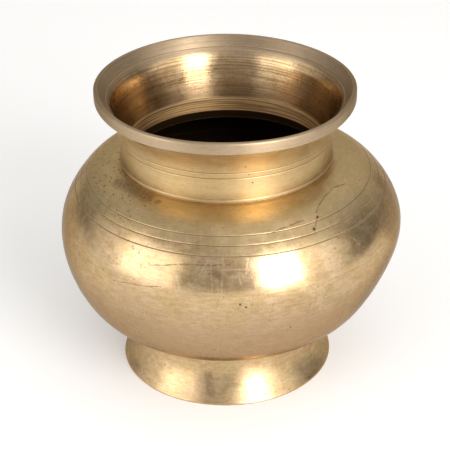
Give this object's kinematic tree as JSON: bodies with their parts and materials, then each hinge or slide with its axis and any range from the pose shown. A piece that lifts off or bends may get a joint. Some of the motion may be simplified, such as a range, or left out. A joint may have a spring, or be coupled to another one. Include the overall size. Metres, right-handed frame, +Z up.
{
  "type": "brass kalash pot",
  "caption": "Round brass water pot with a flared lipped mouth, short neck, wide belly and flared hollow foot ring, brazed up from turned pieces.",
  "frame": {"origin": "centre of the flat face that the foot ring stands on", "axes": "+Z up along the pot's axis, from the foot to the mouth; X and Y are interchangeable on a round pot"},
  "size_m": [0.15, 0.15, 0.1302],
  "materials": {
    "neck_collar": "worn turned brass, fine lathe lines, brown tarnish inside the mouth",
    "upper_shell": "worn turned brass with light tarnish, fine pits and scratches",
    "lower_shell": "worn polished brass with rubbed latitude marks",
    "foot_ring": "worn turned brass, brighter at the rim that it stands on",
    "neck_braze": "dull brazing spelter, darkened with age",
    "belly_braze": "brazing spelter dressed flush with the shells",
    "foot_braze": "dull brazing spelter, darkened with age"
  },
  "bodies": {
    "root": {"neck_collar": "neck_collar", "upper_shell": "upper_shell", "lower_shell": "lower_shell", "foot_ring": "foot_ring", "neck_braze": "neck_braze", "belly_braze": "belly_braze", "foot_braze": "foot_braze"}
  },
  "joints": []
}
